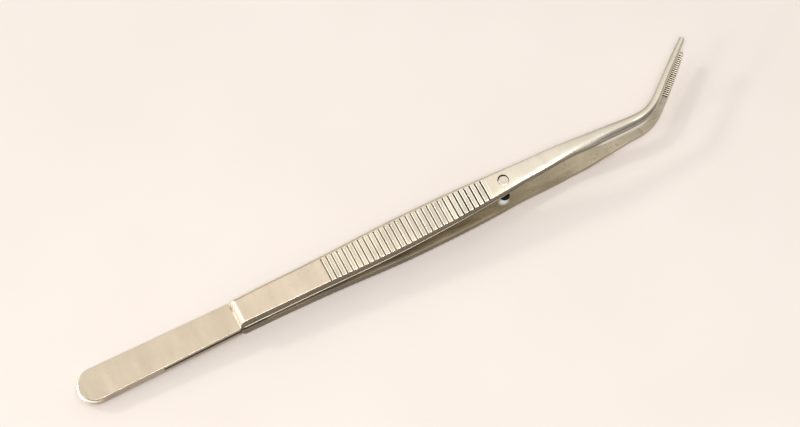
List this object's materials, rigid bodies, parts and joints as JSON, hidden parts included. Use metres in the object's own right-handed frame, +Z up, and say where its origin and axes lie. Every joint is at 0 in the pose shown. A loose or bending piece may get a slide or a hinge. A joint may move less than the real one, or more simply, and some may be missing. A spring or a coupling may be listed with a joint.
{
  "type": "precision tweezers",
  "caption": "Bent-tip steel tweezers with cross-serrated grips, a guide pin, toothed tips and a welded, rounded tail; squeezing the arms closes the tips.",
  "frame": {"origin": "middle of the underside of the whole tool's box, on the surface that it lies on", "axes": "+X from the tail to the tips, +Y the side that the tips bend to, +Z up, away from the lower arm"},
  "size_m": [0.1516, 0.0166, 0.0128],
  "materials": {
    "satin_steel": "satin",
    "ground_steel": "fine ground",
    "weld_metal": "tarnished weld",
    "pin_steel": "ground flush"
  },
  "bodies": {
    "tail": {"upper_tail_leaf": "ground_steel", "lower_tail_leaf": "ground_steel", "tail_weld_seam": "weld_metal"},
    "upper_arm": {"upper_arm": "satin_steel", "guide_pin": "pin_steel"},
    "lower_arm": {"lower_arm": "satin_steel"}
  },
  "joints": [
    {"name": "squeeze", "type": "hinge", "parent": "tail", "child": "upper_arm", "pos_m": [-0.04892, -0.00455, 0.00306], "axis": [0, 1, 0], "range_deg": [0, 1.36], "stiffness_Nm_per_rad": 5.2},
    {"name": "lower_arm_flex", "type": "hinge", "parent": "tail", "child": "lower_arm", "pos_m": [-0.04892, -0.00455, 0.00306], "axis": [0, -1, 0], "range_deg": [0, 1.36], "stiffness_Nm_per_rad": 5.2}
  ],
  "couplings": [
    {"joint": "lower_arm_flex", "follows": "squeeze", "ratio": 1}
  ]
}
